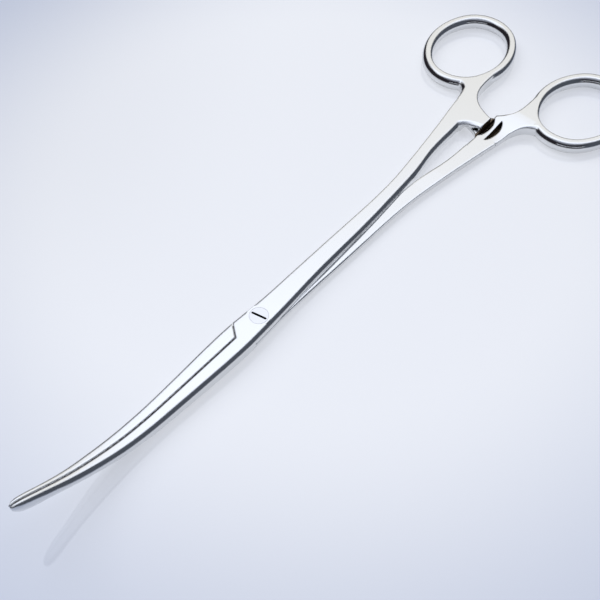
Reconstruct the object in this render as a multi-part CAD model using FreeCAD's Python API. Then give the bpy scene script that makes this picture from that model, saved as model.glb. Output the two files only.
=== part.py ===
"""Curved intestinal clamp with finger rings, a lapped screw joint and a ratchet.

Frame: origin on the pivot axis at the flat underside of the joint, +X towards the tips,
+Z up, the rings' undersides on z = 0. Sizes in millimetres.
"""
import FreeCAD
import Part
import math
import os

V = FreeCAD.Vector

# Joint
JOINT_TOP = 5.4            # flat top of the joint
LAP_SPLIT = 2.70           # level where the upper lap rests over the lower one
LAP_GAP = 0.05             # running clearance between the two laps
SEAM_GAP = 0.15            # jaw face to the middle plane, each side
NOTCH_X_OUT = 5.6          # where the lap shoulder leaves the edge of the joint
NOTCH_X_IN = 8.8           # where the lap shoulder reaches the seam
NOTCH_Y = 4.2              # side reach of the shoulder line
LAP_REAR_X = -14.0         # rear end of the lap's flat
SHOULDER_GAP = 0.28        # clearance along the lap shoulders

# Joint screw
SCREW_D = 3.0
SCREW_HEAD_D = 5.0
SCREW_HEAD_FLAT = 0.35     # straight rim of the head
SCREW_HEAD_CONE = 1.0      # height of the cone under the rim
SCREW_FIT = 0.05           # radial running clearance in the upper half
SLOT_LEN = 4.4
SLOT_W = 0.62
SLOT_DEPTH = 0.9
SLOT_TURN = 103.0          # direction of the slot from +X, degrees

# Shank and jaw stations of the upper half: x, outer top edge y, inner top edge y, top z, underside z
HANDLE_TOP = 4.4           # top of the rings, handles and webs
TIP_X = 76.3
SECTIONS = (
    (-109.0, -11.5, -8.2, HANDLE_TOP, 0.0),
    (-105.0, -11.3, -7.2, HANDLE_TOP, 0.0),
    (-100.5, -10.0, -5.6, HANDLE_TOP, 0.0),
    (-95.0, -9.1, -4.4, HANDLE_TOP, 0.0),
    (-89.0, -8.0, -3.7, HANDLE_TOP, 0.0),
    (-82.0, -6.85, -3.45, HANDLE_TOP, 0.0),
    (-75.0, -5.75, -2.85, HANDLE_TOP, 0.0),
    (-68.0, -4.75, -1.60, 4.43, 0.0),
    (-61.0, -3.85, -0.85, 4.50, 0.0),
    (-54.0, -3.35, -0.30, 4.58, 0.0),
    (-47.0, -3.15, 0.25, 4.68, 0.0),
    (-38.0, -3.10, 0.75, 4.85, 0.0),
    (-29.0, -3.05, 1.10, 5.02, 0.0),
    (-20.0, -2.95, 1.55, 5.20, 0.0),
    (-12.0, -2.85, 2.15, 5.34, 0.0),
    (-5.0, -2.80, 2.70, JOINT_TOP, 0.0),
    (0.0, -3.00, 3.00, JOINT_TOP, 0.0),
    (6.0, -3.32, 3.32, JOINT_TOP, 0.0),
    (12.0, -3.36, 3.36, 5.36, 0.0),
    (20.0, -3.10, 3.10, 5.24, 0.0),
    (30.0, -2.68, 2.68, 5.12, 0.12),
    (39.0, -2.38, 2.38, 5.28, 0.68),
    (47.0, -2.08, 2.08, 6.25, 1.98),
    (55.0, -1.65, 1.65, 8.40, 4.42),
    (62.5, -1.17, 1.17, 11.35, 7.45),
    (69.0, -0.95, 0.95, 14.90, 10.70),
    (73.2, -0.85, 0.85, 17.30, 12.90),
    (75.3, -0.64, 0.64, 18.10, 14.60),
    (TIP_X, -0.28, 0.28, 17.85, 16.20),
)
EDGE_OUT = 0.80            # how far the rounded sides bulge past the flat top
EDGE_DROP = 1.50           # height of the rounding on the long edges
EDGE_BOW = 0.42            # roundness of the long edges, 0.5 is a straight bevel
EDGE_OUT_SHARE = 0.34      # most of the flat's width that one bulge may be
EDGE_DROP_SHARE = 0.40     # most of the height that one rounding may take
SHANK_BACK_OUT = 0.45      # bulge of the shanks' outer sides
SHANK_BACK_X = -20.0       # from here back; it grows to EDGE_OUT at the pivot

# Levels of the shanks behind the joint
UPPER_DROP_X0 = -64.0      # upper half comes down to full height between these
UPPER_DROP_X1 = -70.0
LOWER_TOP_NEAR = 2.45      # top of the lower shank close behind the joint
LOWER_TOP_FAR = 2.60       # top of the lower shank near the ratchet
LOWER_FAR_X = -72.0        # from here back the lower shank has its far top level
LOWER_RISE_X0 = -92.5      # the lower half rises smoothly to the handle height between these
LOWER_RISE_X1 = -107.0
LOWER_RISE_PAST = 0.04     # how far past the handle height that line ends
LOWER_BEVEL = 0.40         # bevel on the lower shank's outer top edge
LOWER_BEVEL_X0 = -30.0     # that bevel fades out between these
LOWER_BEVEL_X1 = -68.0
NICK_X = -92.3             # small nick in the lower half's outer edge
NICK_Y = 8.95
NICK_W = 0.7
NICK_DEPTH = 0.55

# Finger rings
RING_X = -120.0
RING_Y = 20.5
RING_LONG = 15.65          # half axes of the bar's centre line
RING_SHORT = 12.35
RING_END_R = 10.8          # radius of the oval's tight ends
RING_TURN = 5.8            # degrees, long axis from the X axis
BAR_W = 3.3
BAR_FLAT = 1.5             # flat on top and underneath
BAR_BOW = 0.36             # roundness of the bar's edges, 0.5 is a straight bevel

# Corner where each neck flares into its ring, plan points from the ring to the neck,
# given on the upper half's side
UPPER_FLARE = ((-104.9, -14.0), (-104.1, -12.2), (-101.5, -10.75))
LOWER_FLARE = ((-104.2, -16.3), (-102.8, -13.0), (-98.5, -10.3))

# Ratchet
ARM_END_Y = 2.75           # how far each arm reaches past the middle
ARM_SPLIT = 2.50           # level between the two arms
ARM_GAP = 0.10             # clearance between the arms
TOOTH_PITCH = 2.72
TOOTH_RUN = 1.75           # from a tooth's steep face to the end of its slope
TOOTH_DEPTH = 0.75
LOWER_TEETH = 3
UPPER_TEETH = 2
UPPER_LAND = 0.90          # flat left at the upper arm's end
ARM_ROOM_Y = 3.1           # where each half makes room for the other's arm
NEAR_EDGE = 0.80           # bevel of the web's edge towards the joint, and of the flare
FAR_EDGE = 0.35            # bevel of the web's edge towards the rings
GROOVE_X = -95.7           # middle of the lens-shaped grooves
GROOVE_HALF = 4.6          # half their length

# Jaw serrations
SERRATION_X0 = 14.0
SERRATION_X1 = 72.0
SERRATION_PITCH = 2.0
SERRATION_DEPTH = 0.15
SERRATION_W = 0.9
SERRATION_LAND = 0.5       # plain edge left above them


def back_bulge(x):
    """Bulge of the outer side at x: less on the shanks than on the joint and jaws."""
    share = min(1.0, max(0.0, (x - SHANK_BACK_X) / -SHANK_BACK_X))
    return SHANK_BACK_OUT + share * (EDGE_OUT - SHANK_BACK_OUT)


def section(x, y1, y2, top, under):
    """Closed outline across the shank or jaw at x, rounded on its four long edges."""
    h = top - under
    drop = min(EDGE_DROP, EDGE_DROP_SHARE * h)
    w = y2 - y1
    out = min(EDGE_OUT, EDGE_OUT_SHARE * w)
    back = min(back_bulge(x), out)
    k = EDGE_BOW
    pts = {
        "a": V(x, y1, top), "b": V(x, y2, top),
        "c": V(x, y2 + out, top - drop), "d": V(x, y2 + out, under + drop),
        "e": V(x, y2, under), "f": V(x, y1, under),
        "g": V(x, y1 - back, under + drop), "h": V(x, y1 - back, top - drop),
    }
    m_bc = V(x, y2 + out * (1 - k), top - drop * k)
    m_de = V(x, y2 + out * (1 - k), under + drop * k)
    m_fg = V(x, y1 - back * (1 - k), under + drop * k)
    m_ha = V(x, y1 - back * (1 - k), top - drop * k)
    edges = [
        Part.makeLine(pts["a"], pts["b"]),
        Part.Arc(pts["b"], m_bc, pts["c"]).toShape(),
        Part.makeLine(pts["c"], pts["d"]),
        Part.Arc(pts["d"], m_de, pts["e"]).toShape(),
        Part.makeLine(pts["e"], pts["f"]),
        Part.Arc(pts["f"], m_fg, pts["g"]).toShape(),
        Part.makeLine(pts["g"], pts["h"]),
        Part.Arc(pts["h"], m_ha, pts["a"]).toShape(),
    ]
    return Part.Wire(edges)


def prism(points, z0, z1):
    """Upright prism over a closed plan outline."""
    pts = [V(x, y, z0) for x, y in points]
    face = Part.Face(Part.makePolygon(pts + [pts[0]]))
    return face.extrude(V(0, 0, z1 - z0))


def side_prism(points, y0, y1):
    """Prism across Y over a closed side outline of (x, z) points."""
    pts = [V(x, y0, z) for x, z in points]
    face = Part.Face(Part.makePolygon(pts + [pts[0]]))
    return face.extrude(V(0, y1 - y0, 0))


def past(x0, z0, x1, z1):
    """Point a tenth further along the slope from (x0, z0) to (x1, z1)."""
    return (x0 + (x1 - x0) * 1.1, z0 + (z1 - z0) * 1.1)


def cut_all(body, cutters):
    """Take the cutters away one after another."""
    for cutter in cutters:
        body = body.cut(cutter)
    return body


def mirror(shape):
    """The same shape on the other side of the middle plane."""
    return shape.mirror(V(0, 0, 0), V(0, 1, 0))


def long_body():
    """Handle neck, shank, joint and jaw as one smooth body, both jaws' width."""
    wires = [section(*s) for s in SECTIONS]
    return Part.makeLoft(wires, True, False)


def bar_outline(r):
    """Outline across the ring bar, its middle at distance r from the Z axis."""
    hw = BAR_W / 2
    hf = BAR_FLAT / 2
    m = hf + (hw - hf) * (1 - BAR_BOW)
    hi = HANDLE_TOP
    mid = hi / 2
    sag = mid * BAR_BOW

    def at(u, z):
        return V(r + u, 0, z)

    return Part.Wire([
        Part.makeLine(at(-hf, hi), at(hf, hi)),
        Part.Arc(at(hf, hi), at(m, hi - sag), at(hw, mid)).toShape(),
        Part.Arc(at(hw, mid), at(m, sag), at(hf, 0)).toShape(),
        Part.makeLine(at(hf, 0), at(-hf, 0)),
        Part.Arc(at(-hf, 0), at(-m, sag), at(-hw, mid)).toShape(),
        Part.Arc(at(-hw, mid), at(-m, hi - sag), at(-hf, hi)).toShape(),
    ])


def finger_ring():
    """Oval ring of four arcs, flattened on top and underneath, on the upper half's side."""
    end_c = RING_LONG - RING_END_R
    side_r = ((RING_LONG ** 2 - 2 * RING_LONG * RING_END_R + RING_SHORT ** 2)
              / (2 * (RING_SHORT - RING_END_R)))
    side_c = side_r - RING_SHORT
    phi = math.degrees(math.atan2(side_c, end_c))
    arcs = (
        (end_c, 0, RING_END_R, -phi, 2 * phi),
        (0, -side_c, side_r, phi, 180 - 2 * phi),
        (-end_c, 0, RING_END_R, 180 - phi, 2 * phi),
        (0, side_c, side_r, 180 + phi, 180 - 2 * phi),
    )
    parts = []
    for cx, cy, r, start, span in arcs:
        face = Part.Face(bar_outline(r))
        face.rotate(V(0, 0, 0), V(0, 0, 1), start)
        face.translate(V(cx, cy, 0))
        parts.append(face.revolve(V(cx, cy, 0), V(0, 0, 1), span))
    ring = parts[0]
    for part in parts[1:]:
        ring = ring.fuse(part)
    ring.rotate(V(0, 0, 0), V(0, 0, 1), RING_TURN)
    ring.translate(V(RING_X, -RING_Y, 0))
    return ring


def curve(points):
    """Smooth edge through plan points."""
    spline = Part.BSplineCurve()
    spline.interpolate([V(x, y, 0) for x, y in points])
    return spline.toShape()


def web_plan(flare):
    """Plan outline of the web, the ratchet arm and the flare into the ring, upper half."""
    near = curve([(-84.0, -4.6), (-88.3, -3.60), (-91.2, -2.4), (-92.6, -0.3),
                  (-93.5, ARM_END_Y)])
    end = Part.makeLine(V(-93.5, ARM_END_Y, 0), V(-98.3, ARM_END_Y, 0))
    far = curve([(-98.3, ARM_END_Y), (-99.3, -0.2), (-101.2, -3.7), (-104.2, -6.2),
                 (-109.0, -7.4), (-116.0, -7.5)])
    # along the inside of the ring bar to the flare's end
    back = [(-116.0, -7.5), (-116.0, -8.5), (-111.6, -9.9), (-107.4, -12.8), flare[0]]
    inner = [Part.makeLine(V(*p, 0), V(*q, 0)) for p, q in zip(back, back[1:])]
    corner = curve(flare)
    inside = Part.makeLine(V(*flare[-1], 0), V(-84.0, -4.6, 0))
    return Part.Face(Part.Wire([near, end, far] + inner + [corner, inside]))


def rims(solid, x0, x1):
    """Curved level edges of the web that start between x0 and x1."""
    return [e for e in solid.Edges
            if e.Curve.TypeId == "Part::GeomBSplineCurve" and e.BoundBox.ZLength < 1e-4
            and x0 < e.BoundBox.XMin < x1]


def web(flare):
    """Web with its arm, full handle height, edges bevelled."""
    solid = web_plan(flare).extrude(V(0, 0, HANDLE_TOP))
    solid = solid.makeChamfer(NEAR_EDGE, rims(solid, -110.0, 0.0))
    return solid.makeChamfer(FAR_EDGE, rims(solid, -120.0, -110.0))


def tooth_groove(y_steep, run, z_land, z_floor, z_open):
    """Saw-tooth groove along X: steep face at y_steep, sloping up to z_land over run."""
    pts = [
        V(-104, y_steep, z_open), V(-104, y_steep, z_floor),
        V(-104, y_steep + run, z_land), V(-104, y_steep + run, z_open),
    ]
    face = Part.Face(Part.makePolygon(pts + [pts[0]]))
    return face.extrude(V(18, 0, 0))


def lower_grooves():
    """Lens-shaped grooves in the lower half's top, one behind the other."""
    floor = LOWER_TOP_FAR - TOOTH_DEPTH
    r = (GROOVE_HALF ** 2 + TOOTH_RUN ** 2) / (2 * TOOTH_RUN)
    cuts = []
    for i in range(LOWER_TEETH):
        y = ARM_END_Y + TOOTH_PITCH * (1 - i)
        cuts.append(tooth_groove(y, TOOTH_RUN, LOWER_TOP_FAR, floor, 8.0))
        bow = Part.makeCylinder(r, 20.0, V(GROOVE_X, y + TOOTH_RUN - r, -5.0))
        cuts[i] = cuts[i].common(bow)
    return cuts


def upper_grooves():
    """Grooves in the underside of the upper arm."""
    level = ARM_SPLIT + ARM_GAP / 2
    cuts = []
    for i in range(UPPER_TEETH):
        y = ARM_END_Y - UPPER_LAND - TOOTH_PITCH * i
        cuts.append(tooth_groove(y, -TOOTH_RUN, level, level + TOOTH_DEPTH, -1.0))
    return cuts


def lower_bevel():
    """Cutter that bevels the lower shank's outer top edge, on +Y."""
    wires = []
    e = 0.3
    for x, y1, _, _, _ in SECTIONS:
        if LOWER_BEVEL_X1 <= x < NOTCH_X_OUT:
            share = (x - LOWER_BEVEL_X1) / (LOWER_BEVEL_X0 - LOWER_BEVEL_X1)
            size = LOWER_BEVEL * min(1.0, share) - 0.02
            y = -y1 + back_bulge(x)
            z = lower_top(x)
            pts = [V(x, y - size - e, z + e), V(x, y + e, z + e), V(x, y + e, z - size - e)]
            wires.append(Part.makePolygon(pts + [pts[0]]))
    return Part.makeLoft(wires, True, False)


def nick():
    """Small notch in the lower half's outer edge, on +Y."""
    h = NICK_W / 2
    return prism([(NICK_X - h, NICK_Y + 1.0), (NICK_X, NICK_Y - NICK_DEPTH),
                  (NICK_X + h, NICK_Y + 1.0)], LOWER_TOP_FAR - 0.9, 8.0)


def between(x, pairs):
    """Value at x on the straight runs through (x, value) pairs, x falling."""
    for (x0, v0), (x1, v1) in zip(pairs, pairs[1:]):
        if x >= x1:
            return v0 + (v1 - v0) * min(1.0, (x0 - x) / (x0 - x1))
    return pairs[-1][1]


def lower_top(x):
    """Top level of the lower shank at x, in front of the rise."""
    return between(x, (
        (LAP_REAR_X, LAP_SPLIT - LAP_GAP / 2), (LAP_REAR_X - 10.0, LOWER_TOP_NEAR),
        (UPPER_DROP_X0, LOWER_TOP_NEAR), (LOWER_FAR_X, LOWER_TOP_FAR),
    ))


def shank_room():
    """Everything above the lower shank, ending in the smooth rise to the handle."""
    y0 = -12.0
    line = [
        (LOWER_RISE_X1, 12.0), (LAP_REAR_X, 12.0), (LAP_REAR_X, LAP_SPLIT - LAP_GAP / 2),
        (LAP_REAR_X - 10.0, LOWER_TOP_NEAR), (UPPER_DROP_X0, LOWER_TOP_NEAR),
        (LOWER_FAR_X, LOWER_TOP_FAR), (LOWER_RISE_X0, LOWER_TOP_FAR),
    ]
    high = HANDLE_TOP + LOWER_RISE_PAST
    third = (LOWER_RISE_X1 - LOWER_RISE_X0) / 3
    rise = Part.BezierCurve()
    rise.setPoles([
        V(LOWER_RISE_X0, y0, LOWER_TOP_FAR), V(LOWER_RISE_X0 + third, y0, LOWER_TOP_FAR),
        V(LOWER_RISE_X1 - third, y0, high), V(LOWER_RISE_X1, y0, high),
    ])
    edges = [Part.makeLine(V(x0, y0, z0), V(x1, y0, z1))
             for (x0, z0), (x1, z1) in zip(line, line[1:])]
    edges.append(rise.toShape())
    edges.append(Part.makeLine(V(LOWER_RISE_X1, y0, high), V(LOWER_RISE_X1, y0, 12.0)))
    return Part.Face(Part.Wire(edges)).extrude(V(0, 26.0, 0))


def jaw_top(x):
    """Top level of the jaws at x."""
    return between(x, [(s[0], s[3]) for s in reversed(SECTIONS)])


def serrations(side):
    """Cross grooves on the gripping face of one jaw."""
    cuts = []
    n = int((SERRATION_X1 - SERRATION_X0) / SERRATION_PITCH)
    for i in range(n):
        x = SERRATION_X0 + i * SERRATION_PITCH
        h = SERRATION_W / 2
        y = side * SEAM_GAP
        pts = [
            (x - h, y - side * 0.01), (x, y + side * SERRATION_DEPTH), (x + h, y - side * 0.01),
        ]
        cuts.append(prism(pts, -1.0, jaw_top(x) - SERRATION_LAND))
    return Part.makeCompound(cuts)


def upper_half():
    """Upper half: ring on -Y, jaw on +Y, lap on top."""
    body = long_body().fuse(web(UPPER_FLARE)).fuse(finger_ring())
    g = SHOULDER_GAP / 2
    # the other jaw's room in front of the shoulder
    other = prism([
        (NOTCH_X_OUT - g, -NOTCH_Y), (NOTCH_X_IN - g, SEAM_GAP),
        (90.0, SEAM_GAP), (90.0, -NOTCH_Y),
    ], -1.0, 25.0)
    # the lower lap's room under the upper one, and under the shank behind it
    lap = prism([
        (UPPER_DROP_X0, -12.0), (NOTCH_X_OUT + g - 5.0, -12.0), (NOTCH_X_OUT + g, -NOTCH_Y),
        (NOTCH_X_IN + g, 0.0), (NOTCH_X_OUT + g, NOTCH_Y), (UPPER_DROP_X0, NOTCH_Y),
    ], -1.0, LAP_SPLIT + LAP_GAP / 2)
    upper_under = LAP_SPLIT + LAP_GAP / 2
    ramp = side_prism([
        past(UPPER_DROP_X0, upper_under, UPPER_DROP_X1, 0.0),
        (UPPER_DROP_X0, upper_under), (UPPER_DROP_X0, -1.0),
    ], -12.0, 12.0)
    # room for the lower arm
    arm = prism([(-106.0, -ARM_ROOM_Y), (-106.0, 6.0), (-86.0, 6.0), (-86.0, -ARM_ROOM_Y)],
                -1.0, ARM_SPLIT + ARM_GAP / 2)
    body = cut_all(body, [other, lap, ramp, arm])
    body = cut_all(body, upper_grooves())
    # screw seat
    seat_r = SCREW_HEAD_D / 2 + SCREW_FIT
    hole_r = SCREW_D / 2 + SCREW_FIT
    z_rim = JOINT_TOP - SCREW_HEAD_FLAT
    z_cone = z_rim - SCREW_HEAD_CONE
    seat = Part.makeCylinder(seat_r, 2.0, V(0, 0, z_rim - SCREW_FIT))
    cone = Part.makeCone(hole_r, seat_r, SCREW_HEAD_CONE, V(0, 0, z_cone - SCREW_FIT))
    hole = Part.makeCylinder(hole_r, 4.0, V(0, 0, 1.0))
    body = cut_all(body, [seat, cone, hole])
    return body.cut(serrations(1))


def lower_half():
    """Lower half: ring on +Y, jaw on -Y, lap underneath."""
    body = mirror(long_body().fuse(web(LOWER_FLARE)).fuse(finger_ring()))
    g = SHOULDER_GAP / 2
    other = prism([
        (NOTCH_X_OUT - g, NOTCH_Y), (NOTCH_X_IN - g, -SEAM_GAP),
        (90.0, -SEAM_GAP), (90.0, NOTCH_Y),
    ], -1.0, 25.0)
    top = LAP_SPLIT - LAP_GAP / 2
    lap = prism([
        (LAP_REAR_X, -NOTCH_Y), (NOTCH_X_OUT + g, -NOTCH_Y), (NOTCH_X_IN + g, 0.0),
        (NOTCH_X_OUT + g, NOTCH_Y), (LAP_REAR_X, NOTCH_Y),
    ], top, 12.0)
    arm = prism([(-106.0, -6.0), (-106.0, ARM_ROOM_Y), (-86.0, ARM_ROOM_Y), (-86.0, -6.0)],
                ARM_SPLIT - ARM_GAP / 2, 12.0)
    body = cut_all(body, [other, lap, shank_room(), arm, lower_bevel(), nick()])
    body = cut_all(body, lower_grooves())
    hole = Part.makeCylinder(SCREW_D / 2, 8.0, V(0, 0, -1.0))
    body = body.cut(hole)
    return body.cut(serrations(-1))


def joint_screw():
    """Countersunk slotted screw, flush with the joint's top and underside."""
    z_rim = JOINT_TOP - SCREW_HEAD_FLAT
    z_cone = z_rim - SCREW_HEAD_CONE
    shank = Part.makeCylinder(SCREW_D / 2, z_cone, V(0, 0, 0))
    cone = Part.makeCone(SCREW_D / 2, SCREW_HEAD_D / 2, SCREW_HEAD_CONE, V(0, 0, z_cone))
    rim = Part.makeCylinder(SCREW_HEAD_D / 2, SCREW_HEAD_FLAT, V(0, 0, z_rim))
    body = shank.fuse([cone, rim]).removeSplitter()
    run = SLOT_LEN / 2 - SLOT_W / 2
    z0 = JOINT_TOP - SLOT_DEPTH
    bar = Part.makeBox(2 * run, SLOT_W, SLOT_DEPTH + 1, V(-run, -SLOT_W / 2, z0))
    end_a = Part.makeCylinder(SLOT_W / 2, SLOT_DEPTH + 1, V(-run, 0, z0))
    end_b = Part.makeCylinder(SLOT_W / 2, SLOT_DEPTH + 1, V(run, 0, z0))
    slot = bar.fuse([end_a, end_b])
    slot.rotate(V(0, 0, 0), V(0, 0, 1), SLOT_TURN)
    return body.cut(slot)


os.makedirs("parts", exist_ok=True)
upper_half().exportStep("parts/upper_half.step")
lower_half().exportStep("parts/lower_half.step")
joint_screw().exportStep("parts/joint_screw.step")
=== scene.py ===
"""Looks for a curved intestinal clamp in polished stainless steel, lying on a pale glossy table."""
import math

import bpy
from mathutils import Matrix, Vector


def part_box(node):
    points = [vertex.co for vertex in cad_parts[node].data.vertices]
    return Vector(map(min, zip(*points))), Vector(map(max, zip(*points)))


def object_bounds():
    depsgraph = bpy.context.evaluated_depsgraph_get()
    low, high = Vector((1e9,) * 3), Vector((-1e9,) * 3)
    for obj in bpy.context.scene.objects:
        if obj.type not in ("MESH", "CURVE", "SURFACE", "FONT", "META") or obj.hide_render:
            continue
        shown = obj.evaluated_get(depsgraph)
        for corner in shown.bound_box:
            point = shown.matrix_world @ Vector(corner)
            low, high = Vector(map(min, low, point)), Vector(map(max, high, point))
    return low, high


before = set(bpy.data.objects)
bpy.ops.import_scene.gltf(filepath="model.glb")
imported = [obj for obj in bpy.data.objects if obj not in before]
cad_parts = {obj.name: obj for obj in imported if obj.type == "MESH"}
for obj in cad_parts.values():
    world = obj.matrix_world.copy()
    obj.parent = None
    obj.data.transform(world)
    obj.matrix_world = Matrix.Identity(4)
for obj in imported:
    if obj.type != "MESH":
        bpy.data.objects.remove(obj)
cad_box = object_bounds()

MM = 0.001

# Camera, in millimetres and degrees in the clamp's own frame
CAMERA_AT = (96.71, 99.84, 210.30)
CAMERA_HEADING = 221.60
CAMERA_PITCH = 55.01             # how far it looks down
FOCAL_SHARE = 972.3 / 600.0      # focal length over the picture's width
SENSOR_MM = 36.0
CLIP_START_MM = 10.0

# Steel: colours, roughness, painted shade in the ratchet's grooves and the screw's slot, and how the
# buffing, milling and turning left it
STEEL = "#E4E5E6"
STEEL_ROUGHNESS = 0.045
SCREW = "#DEDFE2"
SCREW_ROUGHNESS = 0.08
# painted shade of the screw's slot and hidden sides, near black
SLOT_PAINTED_SHADE = "#202226"
SLOT_ROUGHNESS = 0.55
# painted shade of the ratchet's grooves and the upper arm's end face: dark brown, darker and paler
# along the ridges
MILLED_SHADE_DARK = "#3A3028"
MILLED_SHADE_PALE = "#77695A"
MILLED_ROUGHNESS = 0.45
RIDGE_PATTERN_MM = 3.2           # the pattern repeats about three times in this, so every 1 mm
RIDGE_WANDER = 1.5
RIDGE_STRENGTH = 0.5
RIDGE_DEPTH_MM = 0.05
WAVE_MM = 9.0                    # the buffing's soft waves
WAVE_STRENGTH = 0.10
WAVE_DEPTH_MM = 0.10
MARK_MM = 0.5                    # wheel marks, drawn far coarser than real ones so that they show
MARK_STRETCH = 0.06              # a mark's width over its length
HAZE_SPAN = (0.35, 0.75)
HAZE = 0.06                      # roughness that the marks add at most
BUFFED_EDGE_MM = 0.8             # how far from an edge the shading rounds it over
BUFFED_EDGE_SAMPLES = 8
BUFFED_ROLL = 1.8                # how strongly the shading turns slopes towards the flats
FLUSH_REACH_MM = 3.2             # this near the axis the screw was ground flush: no rounded edge

# Where the finishes change, and where the ratchet's painted shade goes, in millimetres, from the
# clamp's own drawing
LOWER_TOP_MM = 2.6
RISE_SPAN_MM = (-92.5, -107.0)   # here the lower half's top climbs,
RISE_TOP_MM = 4.44               # to this
GROOVE_FLOOR_MM = 1.5
GROOVE_SIDES_MM = (2.2, 7.5)
GROOVE_ENDS_MM = (-101.5, -90.4)
ARM_END_MM = 2.75
TOP_SKIN_MM = 0.04               # how far below the lower half's top the cut faces' finish and painted shade start
ARM_SKIN_MM = 0.03               # how far it reaches in from the arm's end face
HEAD_SKIN_MM = 0.02              # how far below the head's top the slot's dull finish and painted shade start

# Table: a painted pool of light, palest in a round patch near the clamp's middle, dimmer away from
# it
TABLE_SIZE_MM = 3000.0
TABLE_GAP_MM = 0.02              # keeps it just clear of the clamp's underside
TABLE_PALE = "#F5F8FF"
TABLE_DIM = "#C8D0E4"
TABLE_LIGHT_POOL_AT = (-45.0, -20.0, 0.0)
TABLE_LIGHT_POOL_FADE_MM = (70.0, 155.0)    # the painted pool of light's radius, and where the dim tone is reached
TABLE_GLOW = 0.55                # share of the table's tone that shadows don't reach
LAMINATE_ROUGHNESS = 0.03
LAMINATE_IOR = 2.2

# Studio colours and levels
BACKDROP = "#E6EAF3"             # what the camera itself sees beyond the table
ROOM_DARK = "#28262B"
ROOM_RIGHT = "#50555F"
ROOM_CEILING = "#9A9FAC"
SOFTBOX_LOW = "#F0EFEC"          # the softbox is warmer and dimmer lower down
SOFTBOX_LOW_LEVEL = 1.15
SOFTBOX_HIGH = "#EEF3FF"         # and cool white overhead
SOFTBOX_HIGH_LEVEL = 1.45

# Studio layout: headings in degrees; heights as the sine of the angle over the horizon
SOFTBOX_HEADING = 236.0          # the softbox leans this way, beyond the clamp
SOFTBOX_LEAN = 0.9               # weight of that heading beside straight up
SOFTBOX_EDGE = (0.72, 0.92)      # from dark to full, by the weighted sum of the two
SOFTBOX_BOTTOM = (0.36, 0.60)
SOFTBOX_COOLING = (0.62, 0.90)   # heights over which its light turns from warm to cool
CORNER_HEADING = 300.0           # a dark corner on the camera's left cuts into the softbox
CORNER_EDGE = (0.15, 0.40)       # by how squarely a direction points at the corner
CORNER_TOP = (0.65, 0.88)        # heights over which the corner ends
RIGHT_EDGE = (0.32, 0.65)        # from dark to blue-grey, towards the camera's right
CEILING_EDGE = (0.70, 0.92)      # heights over which the room turns grey
STRIP_HEIGHTS = (0.36, 0.44)     # a thin lamp behind the camera
STRIP_REACH = 0.75               # how squarely behind the camera it still is at its ends

# Key light, in millimetres
KEY_AT = (-100.0, -750.0, 750.0)
KEY_AIM = (-30.0, 0.0, 0.0)
KEY_SIZE_MM = 700.0
KEY_WATTS = 4.5

# Settings that many nodes share
SMOOTH = {"interpolation_type": "SMOOTHSTEP"}
COLOURS = {"data_type": "RGBA"}
MULTIPLY = {"operation": "MULTIPLY"}
DOT = {"operation": "DOT_PRODUCT"}
LENGTH = {"operation": "LENGTH"}


def linear(code, level=1.0):
    """sRGB hex code to linear red, green, blue and alpha, brightened by a level."""
    parts = [int(code[i:i + 2], 16) / 255.0 for i in (1, 3, 5)]
    tones = [c / 12.92 if c <= 0.04045 else ((c + 0.055) / 1.055) ** 2.4 for c in parts]
    return tuple(c * level for c in tones) + (1.0,)


def add(tree, kind, settings=None, inputs=None):
    """Adds one node with its settings; each input is a plain value or a socket to link from."""
    node = tree.nodes.new(kind)
    for name, value in (settings or {}).items():
        setattr(node, name, value)
    for name, value in (inputs or {}).items():
        if isinstance(value, bpy.types.NodeSocket):
            tree.links.new(value, node.inputs[name])
        else:
            node.inputs[name].default_value = value
    return node


def new_material(name):
    """Empty node material, its tree, and the socket of places on the object."""
    material = bpy.data.materials.new(name)
    material.use_nodes = True
    tree = material.node_tree
    tree.nodes.clear()
    return material, tree, add(tree, "ShaderNodeTexCoord").outputs["Object"]


def between(limits, value, ends=(0.0, 1.0)):
    """Inputs of a change from one end to the other while a value passes from limit to limit."""
    return {"Value": value, "From Min": limits[0], "From Max": limits[1],
            "To Min": ends[0], "To Max": ends[1]}


def product(tree, factors):
    """Socket of all the factors multiplied."""
    total = factors[0]
    for factor in factors[1:]:
        total = add(tree, "ShaderNodeMath", MULTIPLY, {0: total, 1: factor}).outputs["Value"]
    return total


def all_of(tree, tests):
    """Mask of where every test holds; each test is (operation, value, limit)."""
    return product(tree, [add(tree, "ShaderNodeMath", {"operation": operation},
                              {0: value, 1: limit}).outputs["Value"]
                          for operation, value, limit in tests])


def buffed_normal(tree, place):
    """Socket of the shading normal that buffing leaves: edges rounded over, slopes rolled
    towards the flats, and soft waves a few millimetres long that bend the reflections a little.
    """
    across = add(tree, "ShaderNodeVectorMath", MULTIPLY, {0: place, 1: (1.0, 1.0, 0.0)})
    reach = add(tree, "ShaderNodeVectorMath", LENGTH, {0: across.outputs["Vector"]})
    off_screw = add(tree, "ShaderNodeMath", {"operation": "GREATER_THAN"},
                    {0: reach.outputs["Value"], 1: FLUSH_REACH_MM * MM})
    radius = product(tree, (off_screw.outputs["Value"], BUFFED_EDGE_MM * MM))
    edge = add(tree, "ShaderNodeBevel", {"samples": BUFFED_EDGE_SAMPLES}, {"Radius": radius})
    rolled = add(tree, "ShaderNodeVectorMath", MULTIPLY,
                 {0: edge.outputs["Normal"], 1: (1.0, 1.0, BUFFED_ROLL)})
    even = add(tree, "ShaderNodeVectorMath", {"operation": "NORMALIZE"},
               {0: rolled.outputs["Vector"]})
    waves = add(tree, "ShaderNodeTexNoise",
                inputs={"Vector": place, "Scale": 1 / (WAVE_MM * MM), "Detail": 1.0})
    wavy = add(tree, "ShaderNodeBump", inputs={
        "Strength": WAVE_STRENGTH, "Distance": WAVE_DEPTH_MM * MM,
        "Height": waves.outputs["Fac"], "Normal": even.outputs["Vector"]})
    return wavy.outputs["Normal"]


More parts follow.
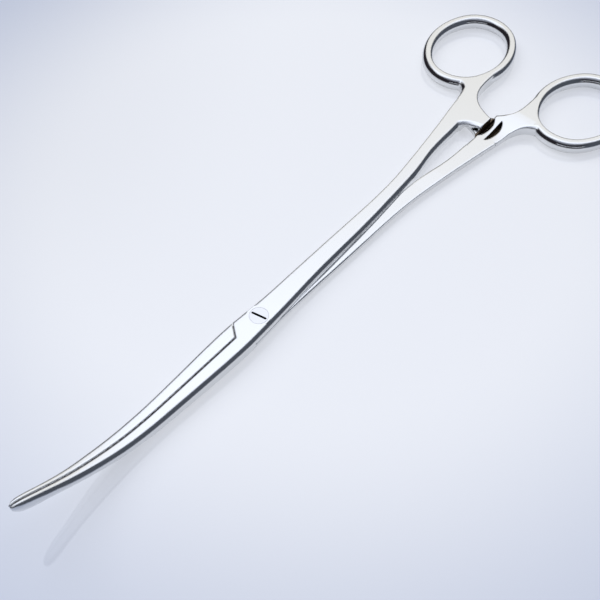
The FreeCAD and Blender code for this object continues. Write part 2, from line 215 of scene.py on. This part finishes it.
def polished(tree, place, colour, roughness):
    """Shader of stainless steel, forged, ground and buffed to a mirror. The wheel's marks run
    along the length and show only as a slight haze.
    """
    stretch = add(tree, "ShaderNodeMapping",
                  inputs={"Vector": place, "Scale": (MARK_STRETCH, 1.0, 1.0)})
    marks = add(tree, "ShaderNodeTexNoise", inputs={
        "Vector": stretch.outputs["Vector"], "Scale": 1 / (MARK_MM * MM), "Detail": 3.0})
    haze = add(tree, "ShaderNodeMapRange", inputs=between(
        HAZE_SPAN, marks.outputs["Fac"], ends=(roughness, roughness + HAZE)))
    return add(tree, "ShaderNodeBsdfPrincipled", inputs={
        "Base Color": linear(colour), "Metallic": 1.0, "Roughness": haze.outputs["Result"],
        "Normal": buffed_normal(tree, place)})


def milled_and_shaded(tree, place):
    """Shader of the ratchet's cut faces: left from the mill, finely ridged and dull. Their dark
    brown, darker and paler along the ridges, is painted shade of the grooves.
    """
    ridges = add(tree, "ShaderNodeTexWave", {"wave_type": "BANDS", "bands_direction": "Y"}, {
        "Vector": place, "Scale": 1 / (RIDGE_PATTERN_MM * MM), "Distortion": RIDGE_WANDER,
        "Detail": 2.0})
    # painted shade: dark brown, darker and paler along the ridges
    brown = add(tree, "ShaderNodeMix", COLOURS, {
        0: ridges.outputs["Fac"], 6: linear(MILLED_SHADE_DARK), 7: linear(MILLED_SHADE_PALE)})
    rough = add(tree, "ShaderNodeBump", inputs={
        "Strength": RIDGE_STRENGTH, "Distance": RIDGE_DEPTH_MM * MM,
        "Height": ridges.outputs["Fac"]})
    return add(tree, "ShaderNodeBsdfPrincipled", inputs={
        "Base Color": brown.outputs[2], "Metallic": 1.0, "Roughness": MILLED_ROUGHNESS,
        "Normal": rough.outputs["Normal"]})


def recess(tree):
    """Shader of the screw's slot and hidden sides: dull, out of the wheel's reach, and near black
    with painted shade.
    """
    return add(tree, "ShaderNodeBsdfPrincipled", inputs={
        "Base Color": linear(SLOT_PAINTED_SHADE), "Metallic": 1.0, "Roughness": SLOT_ROUGHNESS})


def join(tree, outside, inside, mask):
    """Ends a material with one shader outside a mask and another inside it."""
    mix = add(tree, "ShaderNodeMixShader", inputs={
        0: mask, 1: outside.outputs["BSDF"], 2: inside.outputs["BSDF"]})
    add(tree, "ShaderNodeOutputMaterial", inputs={"Surface": mix.outputs["Shader"]})


def ratchet_half(name, cut_faces):
    """Buffed stainless steel of one half; its ratchet's cut faces are left from the mill and get
    painted shade, dark brown.
    """
    material, tree, place = new_material(name)
    axes = add(tree, "ShaderNodeSeparateXYZ", inputs={"Vector": place}).outputs
    join(tree, polished(tree, place, STEEL, STEEL_ROUGHNESS), milled_and_shaded(tree, place),
         cut_faces(tree, axes))
    return material


def lower_grooves(tree, axes):
    """Mask of the lower half's ratchet grooves, where painted shade goes: what is cut into the top
    of its web.
    """
    top = add(tree, "ShaderNodeMapRange", SMOOTH, between(
        [x * MM for x in RISE_SPAN_MM], axes["X"],
        ends=[(z - TOP_SKIN_MM) * MM for z in (LOWER_TOP_MM, RISE_TOP_MM)]))
    return all_of(tree, (
        ("LESS_THAN", axes["Z"], top.outputs["Result"]),
        ("GREATER_THAN", axes["Z"], GROOVE_FLOOR_MM * MM),
        ("GREATER_THAN", axes["X"], GROOVE_ENDS_MM[0] * MM),
        ("LESS_THAN", axes["X"], GROOVE_ENDS_MM[1] * MM),
        ("GREATER_THAN", axes["Y"], GROOVE_SIDES_MM[0] * MM),
        ("LESS_THAN", axes["Y"], GROOVE_SIDES_MM[1] * MM),
    ))


def upper_arm_end(tree, axes):
    """Mask of the upper arm's end face, which gets the grooves' painted shade. Its teeth, out of
    sight underneath, stay polished.
    """
    return all_of(tree, (
        ("GREATER_THAN", axes["Y"], (ARM_END_MM - ARM_SKIN_MM) * MM),
        ("LESS_THAN", axes["X"], GROOVE_ENDS_MM[1] * MM),
        ("GREATER_THAN", axes["X"], GROOVE_ENDS_MM[0] * MM),
    ))


def slotted_screw():
    """Turned stainless steel, buffed on the head's flat top, and dull and dark with painted shade
    everywhere below it.
    """
    material, tree, place = new_material("turned_stainless_steel")
    axes = add(tree, "ShaderNodeSeparateXYZ", inputs={"Vector": place}).outputs
    head_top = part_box("joint_screw")[1][2]
    below = add(tree, "ShaderNodeMath", {"operation": "LESS_THAN"},
                {0: axes["Z"], 1: head_top - HEAD_SKIN_MM * MM})
    join(tree, polished(tree, place, SCREW, SCREW_ROUGHNESS), recess(tree),
         below.outputs["Value"])
    return material


def glossy_table():
    """White laminate with a hard gloss: it mirrors the clamp faintly, almost unblurred. A pool of
    light is painted on it, palest near the clamp's middle.
    """
    material, tree, place = new_material("gloss_white_laminate")
    # painted pool of light: the tone is palest near the clamp's middle and dims away from it
    offset = add(tree, "ShaderNodeVectorMath", {"operation": "SUBTRACT"},
                 {0: place, 1: tuple(c * MM for c in TABLE_LIGHT_POOL_AT)})
    reach = add(tree, "ShaderNodeVectorMath", LENGTH, {0: offset.outputs["Vector"]})
    fall = add(tree, "ShaderNodeMapRange", SMOOTH, between(
        [r * MM for r in TABLE_LIGHT_POOL_FADE_MM], reach.outputs["Value"]))
    tone = add(tree, "ShaderNodeMix", COLOURS, {
        0: fall.outputs["Result"], 6: linear(TABLE_PALE), 7: linear(TABLE_DIM)}).outputs[2]
    board = add(tree, "ShaderNodeBsdfPrincipled", inputs={
        "Base Color": tone, "Roughness": LAMINATE_ROUGHNESS, "IOR": LAMINATE_IOR})
    glow = add(tree, "ShaderNodeEmission", inputs={"Color": tone})
    ray = add(tree, "ShaderNodeLightPath")
    seen = add(tree, "ShaderNodeMath", {"operation": "MAXIMUM"},
               {0: ray.outputs["Is Camera Ray"], 1: ray.outputs["Is Glossy Ray"]})
    mix = add(tree, "ShaderNodeMixShader", inputs={
        0: product(tree, (seen.outputs["Value"], TABLE_GLOW)),
        1: board.outputs["BSDF"], 2: glow.outputs["Emission"]})
    add(tree, "ShaderNodeOutputMaterial", inputs={"Surface": mix.outputs["Shader"]})
    return material


def lay_table():
    """The pale table under the clamp, just below its lowest point."""
    half = TABLE_SIZE_MM * MM / 2
    level = cad_box[0][2] - TABLE_GAP_MM * MM
    mesh = bpy.data.meshes.new("table")
    mesh.from_pydata([(-half, -half, level), (half, -half, level), (half, half, level),
                      (-half, half, level)], [], [(0, 1, 2, 3)])
    table = bpy.data.objects.new("table", mesh)
    bpy.context.collection.objects.link(table)
    table.data.materials.append(glossy_table())


def compass(degrees, share=1.0, height=0.0):
    """Vector that points at a heading by a level share, and up by a height."""
    turn = math.radians(degrees)
    return (share * math.cos(turn), share * math.sin(turn), height)


def light_room():
    """World: a dark room with a wide softbox over and beyond the clamp and one strip lamp.

    The steel and the table mirror that room. The camera itself sees a plain pale backdrop.
    """
    world = bpy.data.worlds.new("studio_room")
    bpy.context.scene.world = world
    world.use_nodes = True
    tree = world.node_tree
    tree.nodes.clear()
    direction = add(tree, "ShaderNodeTexCoord").outputs["Generated"]
    height = add(tree, "ShaderNodeSeparateXYZ", inputs={"Vector": direction}).outputs["Z"]
    dark = add(tree, "ShaderNodeMix", COLOURS, {
        0: strip_lamp(tree, direction, height), 6: unlit_room(tree, direction, height),
        7: linear(SOFTBOX_HIGH)})
    room = add(tree, "ShaderNodeMix", COLOURS, {
        0: softbox(tree, direction, height), 6: dark.outputs[2], 7: softbox_tone(tree, height)})
    ray = add(tree, "ShaderNodeLightPath")
    seen = add(tree, "ShaderNodeMix", COLOURS, {
        0: ray.outputs["Is Camera Ray"], 6: room.outputs[2], 7: linear(BACKDROP)})
    sky = add(tree, "ShaderNodeBackground", inputs={"Color": seen.outputs[2]})
    add(tree, "ShaderNodeOutputWorld", inputs={"Surface": sky.outputs["Background"]})


def softbox(tree, direction, height):
    """Mask of the overhead softbox: it leans over beyond the clamp, ends above the horizon,
    and gives way to the dark corner on one side, up to the corner's top.
    """
    lean = add(tree, "ShaderNodeVectorMath", DOT,
               {0: direction, 1: compass(SOFTBOX_HEADING, share=SOFTBOX_LEAN, height=1.0)})
    inside = add(tree, "ShaderNodeMapRange", SMOOTH, between(SOFTBOX_EDGE, lean.outputs["Value"]))
    above = add(tree, "ShaderNodeMapRange", SMOOTH, between(SOFTBOX_BOTTOM, height))
    aside = add(tree, "ShaderNodeVectorMath", DOT, {0: direction, 1: compass(CORNER_HEADING)})
    beside = add(tree, "ShaderNodeMapRange", SMOOTH, between(CORNER_EDGE, aside.outputs["Value"]))
    low = add(tree, "ShaderNodeMapRange", SMOOTH, between(CORNER_TOP, height, ends=(1.0, 0.0)))
    corner = product(tree, (beside.outputs["Result"], low.outputs["Result"]))
    clear = add(tree, "ShaderNodeMath", {"operation": "SUBTRACT"}, {0: 1.0, 1: corner})
    return product(tree, (inside.outputs["Result"], above.outputs["Result"],
                          clear.outputs["Value"]))


def softbox_tone(tree, height):
    """Colour of the softbox, from warm low down to cool and brighter overhead."""
    cooling = add(tree, "ShaderNodeMapRange", SMOOTH, between(SOFTBOX_COOLING, height))
    return add(tree, "ShaderNodeMix", COLOURS, {
        0: cooling.outputs["Result"], 6: linear(SOFTBOX_LOW, SOFTBOX_LOW_LEVEL),
        7: linear(SOFTBOX_HIGH, SOFTBOX_HIGH_LEVEL)}).outputs[2]


def unlit_room(tree, direction, height):
    """Colour of the room outside the softbox: blue-grey on the camera's right, almost black
    elsewhere, and grey near the ceiling.
    """
    right = add(tree, "ShaderNodeVectorMath", DOT, {0: direction, 1: compass(CAMERA_HEADING - 90.0)})
    turn = add(tree, "ShaderNodeMapRange", SMOOTH, between(RIGHT_EDGE, right.outputs["Value"]))
    walls = add(tree, "ShaderNodeMix", COLOURS, {
        0: turn.outputs["Result"], 6: linear(ROOM_DARK), 7: linear(ROOM_RIGHT)})
    rise = add(tree, "ShaderNodeMapRange", SMOOTH, between(CEILING_EDGE, height))
    return add(tree, "ShaderNodeMix", COLOURS, {
        0: rise.outputs["Result"], 6: walls.outputs[2], 7: linear(ROOM_CEILING)}).outputs[2]


def strip_lamp(tree, direction, height):
    """Mask of a long thin lamp behind the camera, the bright line in the steel's dark sides."""
    ahead = add(tree, "ShaderNodeVectorMath", DOT, {0: direction, 1: compass(CAMERA_HEADING)})
    return all_of(tree, (
        ("GREATER_THAN", height, STRIP_HEIGHTS[0]),
        ("LESS_THAN", height, STRIP_HEIGHTS[1]),
        ("LESS_THAN", ahead.outputs["Value"], -STRIP_REACH),
    ))


def hang_key():
    """Soft key light beyond the clamp on the camera's left, for a shadow towards the near
    right. The steel doesn't mirror it.
    """
    lamp = bpy.data.lights.new("key_softbox", "AREA")
    lamp.shape = "DISK"
    lamp.size = KEY_SIZE_MM * MM
    lamp.energy = KEY_WATTS
    key = bpy.data.objects.new("key_softbox", lamp)
    key.location = Vector(KEY_AT) * MM
    aim = Vector(KEY_AIM) - Vector(KEY_AT)
    key.rotation_euler = aim.to_track_quat("-Z", "Y").to_euler()
    key.visible_glossy = False
    bpy.context.collection.objects.link(key)


def set_camera():
    """Camera at the view's own place, level from side to side."""
    data = bpy.data.cameras.new("camera")
    data.sensor_fit = "HORIZONTAL"
    data.sensor_width = SENSOR_MM
    data.lens = SENSOR_MM * FOCAL_SHARE
    data.clip_start = CLIP_START_MM * MM
    pitch = math.radians(CAMERA_PITCH)
    ahead = Vector(compass(CAMERA_HEADING, share=math.cos(pitch), height=-math.sin(pitch)))
    right = ahead.cross(Vector((0, 0, 1))).normalized()
    up = right.cross(ahead)
    turn = Matrix((right, up, -ahead)).transposed().to_4x4()
    camera = bpy.data.objects.new("camera", data)
    camera.matrix_world = Matrix.Translation(Vector(CAMERA_AT) * MM) @ turn
    bpy.context.collection.objects.link(camera)
    bpy.context.scene.camera = camera


def dress(node, material):
    """Gives every material slot of a CAD node the same finish."""
    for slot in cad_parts[node].material_slots:
        slot.material = material


dress("upper_half", ratchet_half("buffed_stainless_steel_upper", upper_arm_end))
dress("lower_half", ratchet_half("buffed_stainless_steel_lower", lower_grooves))
dress("joint_screw", slotted_screw())

lay_table()
light_room()
hang_key()
set_camera()

bpy.context.scene.view_settings.view_transform = "Standard"
